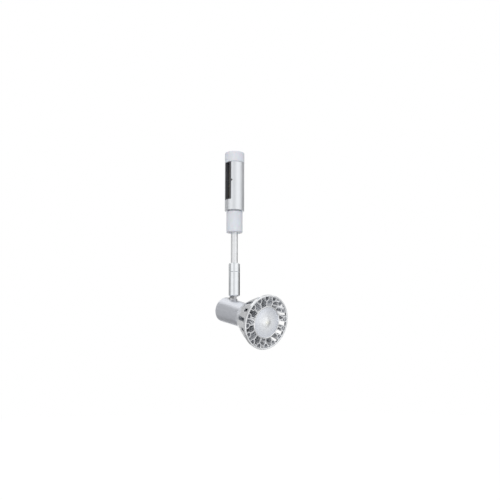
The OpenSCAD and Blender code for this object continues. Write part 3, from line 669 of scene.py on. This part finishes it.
class Turning:
    """A profile of radius and height that is spun into a closed piece."""

    MERGE = 1e-7
    CREASE = math.radians(40.0)

    def __init__(self, steps: int = 96) -> None:
        """Starts an empty mesh.

        Args:
            steps: Segments round the axis.
        """
        self.steps = steps
        self.mesh = bmesh.new()

    def spin(self, profile: list[tuple[float, float]], closed: bool) -> None:
        """Spins a profile about the Z axis.

        Args:
            profile: Radius and height of each point, in metres.
            closed: Whether the last point joins the first.
        """
        points = [self.mesh.verts.new((radius, 0.0, height)) for radius, height in profile]
        pairs = list(zip(points, points[1:]))
        if closed:
            pairs.append((points[-1], points[0]))
        edges = [self.mesh.edges.new(pair) for pair in pairs]
        bmesh.ops.spin(
            self.mesh, geom=points + edges, cent=(0.0, 0.0, 0.0), axis=(0.0, 0.0, 1.0), angle=math.tau,
            steps=self.steps, use_merge=True, use_duplicate=False,
        )
        bmesh.ops.remove_doubles(self.mesh, verts=self.mesh.verts, dist=self.MERGE)
        bmesh.ops.recalc_face_normals(self.mesh, faces=self.mesh.faces)

    def round_edges(self, sharper_than: float, offset: float, segments: int = 3) -> None:
        """Rounds the edges that are sharper than an angle.

        Args:
            sharper_than: Least angle between two faces, in degrees.
            offset: Width of the rounding, in metres.
            segments: Steps across the rounding.
        """
        limit = math.radians(sharper_than)
        edges = [edge for edge in self.mesh.edges if edge.is_manifold and edge.calc_face_angle() > limit]
        bmesh.ops.bevel(
            self.mesh, geom=edges, offset=offset, offset_type="OFFSET", segments=segments, profile=0.5,
            affect="EDGES", clamp_overlap=True, material=-1,
        )

    def finish(self, name: str, axis: Axis) -> bpy.types.Object:
        """Sets the mesh on its axis and makes it an object at the origin.

        Args:
            name: Name of the piece.
            axis: Line that becomes the spin's axis.

        Returns:
            The new object.
        """
        bmesh.ops.transform(self.mesh, matrix=axis.matrix(), verts=self.mesh.verts)
        for face in self.mesh.faces:
            face.smooth = True
        for edge in self.mesh.edges:
            edge.smooth = not (edge.is_manifold and edge.calc_face_angle() > self.CREASE)
        data = bpy.data.meshes.new(name)
        self.mesh.to_mesh(data)
        self.mesh.free()
        piece = bpy.data.objects.new(name, data)
        bpy.context.scene.collection.objects.link(piece)
        return piece


def smooth_step(share: float) -> float:
    """Returns a share from 0 to 1, eased at both ends."""
    return share * share * (3.0 - 2.0 * share)


@dataclass
class Assembly:
    """Pieces of the frame that belong together, with the finish of each."""

    wardrobe: Wardrobe
    axis: Axis = UPRIGHT
    finishes: dict[str, Finish] = field(default_factory=dict)

    def build(self) -> None:
        """Dresses the assembly's nodes, with marks that run round its axis."""
        for name, finish in self.finishes.items():
            self.wardrobe.dress(name, finish, self.axis)


@dataclass
class Adapter(Assembly):
    """Body that straddles the rail, with its liner, contacts, socket and cap."""

    finishes: dict[str, Finish] = field(
        default_factory=lambda: {
            "adapter_body": SATIN_ALUMINIUM,
            "slot_liner": DARK_PLASTIC,
            "socket_insert": WHITE_PLASTIC,
            "socket_sleeves": CONTACT_BRASS,
            "lower_contact": CONTACT_BRASS,
            "upper_contact": CONTACT_BRASS,
            "adapter_cap": PALE_PLASTIC,
        }
    )


@dataclass
class PlugAndStem(Assembly):
    """Lock collar, plug, stem tube and the leads in it."""

    finishes: dict[str, Finish] = field(
        default_factory=lambda: {
            "lock_collar": PALE_PLASTIC,
            "plug_body": WHITE_PLASTIC,
            "plug_pins": CONTACT_BRASS,
            "stem_tube": STEM_ALUMINIUM,
            "stem_leads": LEAD_INSULATION,
        }
    )


@dataclass
class Swivel(Assembly):
    """Turned ring and barrel that pan, with their stud, nut and washer."""

    finishes: dict[str, Finish] = field(
        default_factory=lambda: {
            "swivel_ring": BRIGHT_CHROME,
            "swivel_barrel": BRIGHT_CHROME,
            "swivel_stud": TURNED_STEEL,
            "swivel_nut": TURNED_STEEL,
            "friction_washer": DARK_PLASTIC,
            "tilt_fork": TURNED_STEEL,
            "tilt_pin": TURNED_STEEL,
            "tilt_washers": DARK_PLASTIC,
        }
    )


@dataclass
class TiltHead(Assembly):
    """Tongue and painted sleeve that tilt, with the lampholder inside."""

    finishes: dict[str, Finish] = field(
        default_factory=lambda: {
            "tilt_tongue": BURNISHED_STEEL,
            "sleeve_nut": TURNED_STEEL,
            "lamp_sleeve": SILVER_PAINT,
            "holder_bracket": TURNED_STEEL,
            "lampholder": WHITE_PLASTIC,
            "holder_contacts": CONTACT_BRASS,
            "holder_screws": TURNED_STEEL,
            "head_leads": LEAD_INSULATION,
        }
    )


@dataclass
class Lamp(Assembly):
    """Reflector-size lamp: finned heat sink, optic, ring, light source and base."""

    body: str = "lamp"
    lens_radius: float = 13.8 * MM
    lens_seat: float = 0.9 * MM
    lens_front: float = -1.05 * MM
    lens_crown: float = 0.8 * MM
    lens_back: float = -12.4 * MM
    flange: float = 1.15 * MM
    tail_radius: float = 4.6 * MM
    cavity_radius: float = 3.2 * MM
    cavity_depth: float = 3.8 * MM
    cavity_crown: float = 0.6 * MM
    boss_radius: float = 5.6 * MM
    boss_top: float = 0.3 * MM
    boss_rise: float = 0.95 * MM
    front_steps: int = 36
    back_steps: int = 12
    ring_inner: float = 13.7 * MM
    ring_outer: float = 14.75 * MM
    ring_thickness: float = 0.95 * MM
    ring_rounding: float = 0.12 * MM
    ring_corner: float = 30.0
    ring_steps: int = 128
    finishes: dict[str, Finish] = field(
        default_factory=lambda: {
            "lamp_heat_sink": CAST_ALUMINIUM,
            "led_board": WHITE_BOARD,
            "led_emitter": PHOSPHOR,
            "driver_board": GREEN_BOARD,
            "lamp_base": WHITE_PLASTIC,
            "lamp_pins": TURNED_STEEL,
        }
    )

    def build(self) -> None:
        """Dresses the lamp's nodes and makes its optic and ring."""
        super().build()
        self._optic()
        self._ring()

    @property
    def dome_radius(self) -> float:
        """Radius of the optic's dome, inside the flat edge that the ring holds."""
        return self.lens_radius - self.lens_seat

    def _optic(self) -> None:
        """Makes the moulded optic: a low dome with a boss, and a curved cup behind it."""
        side, rim = self.dome_radius, self.lens_front
        profile = []
        for index in range(self.front_steps + 1):
            radius = side * index / self.front_steps
            profile.append((radius, self._front(radius)))
        profile += [(self.lens_radius, rim), (self.lens_radius, rim - self.flange)]
        for index in range(self.back_steps + 1):
            radius = side + (self.tail_radius - side) * index / self.back_steps
            profile.append((radius, self._back(radius)))
        top = self.lens_back + self.cavity_depth
        profile += [(self.cavity_radius, self.lens_back), (self.cavity_radius, top)]
        profile.append((0.0, top + self.cavity_crown))
        turning = Turning()
        turning.spin(profile, closed=False)
        piece = turning.finish("lens_optic", self.axis)
        self._add(piece, FROSTED_LENS_PAINTED_GLOW, "lens", "lens_plastic")

    def _front(self, radius: float) -> float:
        """Works out the optic's front face.

        Args:
            radius: Distance from the axis.

        Returns:
            Height on the lamp's axis.
        """
        dome = self.lens_front + self.lens_crown * (1.0 - (radius / self.dome_radius) ** 2)
        share = (radius - self.boss_top) / (self.boss_radius - self.boss_top)
        return dome + self.boss_rise * (1.0 - smooth_step(min(1.0, max(0.0, share))))

    def _back(self, radius: float) -> float:
        """Works out the optic's curved cup, which starts at the flange.

        Args:
            radius: Distance from the axis.

        Returns:
            Height on the lamp's axis.
        """
        start = self.lens_front - self.flange
        share = (radius**2 - self.tail_radius**2) / (self.dome_radius**2 - self.tail_radius**2)
        return self.lens_back + (start - self.lens_back) * share

    def _ring(self) -> None:
        """Makes the polished ring that holds the optic."""
        lip = self.ring_thickness / 3
        profile = [
            (self.ring_inner, -self.ring_thickness),
            (self.ring_inner, -lip),
            (self.ring_inner + lip, 0.0),
            (self.ring_outer - lip, 0.0),
            (self.ring_outer, -lip),
            (self.ring_outer, -self.ring_thickness),
        ]
        turning = Turning(self.ring_steps)
        turning.spin(profile, closed=True)
        turning.round_edges(self.ring_corner, self.ring_rounding)
        piece = turning.finish("lens_bezel", self.axis)
        self._add(piece, POLISHED_RING, "lens_ring", "cast_aluminium")

    def _add(self, piece: bpy.types.Object, finish: Finish, node: str, slot: str) -> None:
        """Dresses a new piece and sets it on the lamp in a node's place.

        Args:
            piece: The new piece.
            finish: Its finish.
            node: Node that it stands for.
            slot: Material slot of the record; not used.
        """
        piece.data.materials.append(self.wardrobe.material(finish, self.axis))
        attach(piece, self.body)
        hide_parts(node)
        LOG.info("built %s for %s", piece.name, node)


@dataclass(frozen=True)
class Card:
    """Curved grey wall that only reflections show, between two angles off the camera's heading."""

    name: str
    start: float
    end: float
    shade: float
    bottom: float = -0.72
    top: float = 0.95
    distance: float = 1.4


@dataclass(frozen=True)
class FloorCard:
    """Round grey card just above the floor that only reflections show."""

    name: str
    place: Point
    radius: float
    shade: float


@dataclass(frozen=True)
class SoftLight:
    """Square light that points at the spotlight, with its side in metres and its power in watts."""

    name: str
    place: Point
    size: float
    watts: float
    target: Point = (0.0, 0.0, -0.06)


@dataclass
class Studio:
    """White surroundings, soft lights, and grey cards that only reflections show."""

    floor_level: float = -0.75
    floor_size: float = 30.0
    floor_cells: int = 4
    floor_albedo: float = 0.70
    floor_glow: float = 0.30
    far_glow: float = 0.50
    far: float = 3.0
    ambient: float = 0.72
    fin_bounces: int = 14
    wall_steps: int = 24
    disc_steps: int = 64
    lights: tuple[SoftLight, ...] = (
        SoftLight("key", (-1.15, -1.25, 0.85), 1.6, 15.0),
        SoftLight("top", (0.0, 0.0, 1.70), 1.8, 12.0),
    )
    cards: tuple[Card, ...] = (
        Card("back_card", 346.0, 374.0, 0.50, bottom=0.15, top=1.4),
        Card("left_back", 14.0, 53.0, 0.54, top=0.12),
        Card("back_high", 14.0, 53.0, 0.40, bottom=0.12, top=1.15),
        Card("left_low", 53.0, 64.0, 0.38, top=0.11),
        Card("left_card", 64.0, 100.0, 0.38, top=0.35),
        Card("left_upper", 64.0, 100.0, 0.30, bottom=0.35, top=1.4),
        Card("left_wing", 100.0, 120.0, 0.80),
        Card("front_left", 148.0, 165.0, 0.92),
        Card("front_card", 165.0, 185.0, 0.68),
        Card("front_right", 185.0, 200.0, 0.86),
        Card("soft_box", 200.0, 236.0, 1.00, top=0.20),
        Card("high_box", 200.0, 234.0, 1.10, bottom=0.20),
        Card("right_wing", 259.0, 286.0, 0.72, top=-0.42),
        Card("wing_high", 259.0, 286.0, 0.60, bottom=-0.42),
        Card("right_low", 286.0, 352.0, 0.30, top=-0.20),
        Card("right_card", 286.0, 352.0, 0.07, bottom=-0.20, top=0.14),
        Card("right_high", 286.0, 304.0, 0.32, bottom=0.14),
        Card("right_back", 304.0, 346.0, 0.46, bottom=0.14),
    )
    floor_cards: tuple[FloorCard, ...] = (
        FloorCard("under_card", (0.06, 0.61, -0.70), 0.9, 0.22),
        FloorCard("under_right", (0.75, -0.75, -0.70), 0.5, 0.72),
        FloorCard("under_far", (1.05, -0.15, -0.69), 0.42, 0.40),
    )

    def build(self) -> None:
        """Makes the world, floor, lights and cards."""
        self._world()
        self._floor()
        for light in self.lights:
            self._light(light)
        for card in self.cards:
            self._card(card)
        for card in self.floor_cards:
            self._floor_card(card)
        self._light_paths()

    @staticmethod
    def _seen(tree: NodeTree) -> Socket:
        """Tells rays that see the surroundings from rays that only light the part.

        Args:
            tree: The tree to add to.

        Returns:
            1 for rays from the camera, in reflections and through glass, and 0 for others.
        """
        path = tree.add("LightPath")
        mirror = tree.math("MAXIMUM", path.outputs["Is Glossy Ray"], path.outputs["Is Transmission Ray"])
        return tree.math("MAXIMUM", path.outputs["Is Camera Ray"], mirror)

    def _world(self) -> None:
        """Makes the world white where it is seen, and a plain ambient light elsewhere."""
        world = bpy.data.worlds.new("white_surroundings")
        world.use_nodes = True
        tree = NodeTree(world.node_tree)
        back = tree.add("Background", {"Color": (1.0, 1.0, 1.0, 1.0)})
        seen = self._seen(tree)
        tree.feed(back.inputs["Strength"], tree.spread(seen, 0.0, 1.0, self.ambient, 1.0))
        output = tree.add("OutputWorld")
        tree.feed(output.inputs["Surface"], back.outputs[0])
        bpy.context.scene.world = world

    def _floor(self) -> None:
        """Makes the pale floor far below, which keeps the shadow."""
        mesh = bmesh.new()
        cells = self.floor_cells
        bmesh.ops.create_grid(mesh, x_segments=cells, y_segments=cells, size=self.floor_size / 2)
        bmesh.ops.translate(mesh, vec=(0.0, 0.0, self.floor_level), verts=mesh.verts)
        material = bpy.data.materials.new("pale_floor")
        material.use_nodes = True
        tree = NodeTree(material.node_tree)
        albedo = self.floor_albedo
        matte = tree.add("BsdfDiffuse", {"Color": (albedo, albedo, albedo, 1.0)})
        glow = tree.add("Emission", {"Color": (1.0, 1.0, 1.0, 1.0)})
        place = tree.add("TexCoord")
        reach = tree.length(place.outputs["Object"])
        outward = tree.spread(reach, -self.floor_level, self.far, self.floor_glow, self.far_glow)
        tree.feed(glow.inputs["Strength"], tree.math("MULTIPLY", self._seen(tree), outward))
        both = tree.add("AddShader")
        tree.feed(both.inputs[0], matte.outputs[0])
        tree.feed(both.inputs[1], glow.outputs[0])
        output = tree.add("OutputMaterial")
        tree.feed(output.inputs["Surface"], both.outputs[0])
        self._stage(mesh, "floor", material)

    @staticmethod
    def _stage(mesh: bmesh.types.BMesh, name: str, material: bpy.types.Material) -> bpy.types.Object:
        """Makes a mesh an object of the stage.

        Args:
            mesh: Its mesh, which is freed.
            name: Its name.
            material: Its material.

        Returns:
            The new object.
        """
        data = bpy.data.meshes.new(name)
        mesh.to_mesh(data)
        mesh.free()
        data.materials.append(material)
        thing = bpy.data.objects.new(name, data)
        bpy.context.scene.collection.objects.link(thing)
        return thing

    @staticmethod
    def _light(light: SoftLight) -> None:
        """Makes one soft light, which neither the camera nor reflections show.

        Args:
            light: Its place, size and power.
        """
        data = bpy.data.lights.new(light.name, "AREA")
        data.shape = "SQUARE"
        data.size = light.size
        data.energy = light.watts
        lamp = bpy.data.objects.new(light.name, data)
        lamp.location = light.place
        aim = Vector(light.target) - Vector(light.place)
        lamp.rotation_euler = aim.to_track_quat("-Z", "Y").to_euler()
        lamp.visible_camera = False
        lamp.visible_glossy = False
        bpy.context.scene.collection.objects.link(lamp)

    def _card(self, card: Card) -> None:
        """Makes one curved card by spinning an upright edge part of the way round.

        Args:
            card: Its angles, height and shade.
        """
        turn = math.radians(PhotoCamera.heading + card.start)
        foot = Vector((math.cos(turn), math.sin(turn), 0.0)) * card.distance
        mesh = bmesh.new()
        ends = [mesh.verts.new(foot + Vector((0.0, 0.0, level))) for level in (card.bottom, card.top)]
        edge = mesh.edges.new(ends)
        bmesh.ops.spin(
            mesh, geom=[*ends, edge], cent=(0.0, 0.0, 0.0), axis=(0.0, 0.0, 1.0),
            angle=math.radians(card.end - card.start), steps=self.wall_steps, use_merge=False,
            use_duplicate=False,
        )
        self._reflected_only(mesh, card.name, card.shade)

    def _floor_card(self, card: FloorCard) -> None:
        """Makes one round card below, which sets what undersides reflect.

        Args:
            card: Its place, radius and shade.
        """
        mesh = bmesh.new()
        bmesh.ops.create_circle(mesh, cap_ends=True, segments=self.disc_steps, radius=card.radius)
        bmesh.ops.translate(mesh, vec=card.place, verts=mesh.verts)
        self._reflected_only(mesh, card.name, card.shade)

    def _light_paths(self) -> None:
        """Lets light bounce often enough to come out again from between the polished fins."""
        bpy.context.scene.cycles.glossy_bounces = self.fin_bounces
        bpy.context.scene.cycles.max_bounces = self.fin_bounces

    def _reflected_only(self, mesh: bmesh.types.BMesh, name: str, shade: float) -> None:
        """Makes a grey thing of the stage that only reflections show.

        Args:
            mesh: Its mesh.
            name: Its name.
            shade: How bright it looks.
        """
        material = bpy.data.materials.new(name)
        material.use_nodes = True
        tree = NodeTree(material.node_tree)
        glow = tree.add("Emission", {"Color": (1.0, 1.0, 1.0, 1.0), "Strength": shade})
        output = tree.add("OutputMaterial")
        tree.feed(output.inputs["Surface"], glow.outputs[0])
        thing = self._stage(mesh, name, material)
        thing.visible_camera = False
        thing.visible_diffuse = False
        thing.visible_shadow = False
        thing.visible_transmission = False


@dataclass
class PhotoCamera:
    """Camera below the adapter, looking a little up."""

    place: Point = (-0.46313, -0.56183, -0.19818)
    heading: float = 49.333
    pitch: float = 10.247
    lens: float = 56.16
    sensor: float = 36.0
    nearest: float = 0.01
    farthest: float = 100.0

    def build(self) -> None:
        """Makes the camera and sets it as the scene's."""
        data = bpy.data.cameras.new("photo_camera")
        data.sensor_width = self.sensor
        data.lens = self.lens
        data.clip_start = self.nearest
        data.clip_end = self.farthest
        camera = bpy.data.objects.new("photo_camera", data)
        turn, rise = math.radians(self.heading), math.radians(self.pitch)
        aim = Vector((math.cos(turn) * math.cos(rise), math.sin(turn) * math.cos(rise), math.sin(rise)))
        camera.location = self.place
        camera.rotation_euler = aim.to_track_quat("-Z", "Y").to_euler()
        bpy.context.scene.collection.objects.link(camera)
        bpy.context.scene.camera = camera


def lamp_axis(joints: list[dict]) -> Axis:
    """Finds the lamp's axis from the joint that pulls it out and from its ring.

    Args:
        joints: The frame's joints.

    Returns:
        Axis through the middle of the lamp's face, pointing out of it.
    """
    pull = next(joint for joint in joints if joint["name"] == "lamp_pull")
    direction = Vector(pull["axis"]).normalized()
    low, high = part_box("lens_ring")
    middle = (low + high) / 2
    face = middle + direction * (Lamp.ring_thickness / 2)
    return Axis(tuple(face), tuple(direction))


def main() -> None:
    """Builds the spotlight's looks, studio and camera in order."""
    logging.basicConfig(level=logging.INFO, format="%(message)s")
    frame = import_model()
    bpy.context.scene.view_settings.view_transform = "Standard"
    wardrobe = Wardrobe(frame["nodes"])
    axis = lamp_axis(frame["joints"])
    for assembly in (
        Adapter(wardrobe),
        PlugAndStem(wardrobe),
        Swivel(wardrobe),
        TiltHead(wardrobe, axis),
        Lamp(wardrobe, axis),
        Studio(),
        PhotoCamera(),
    ):
        assembly.build()
        LOG.info("finished %s", type(assembly).__name__)
    bpy.context.view_layer.update()


if __name__ == "__main__":
    main()
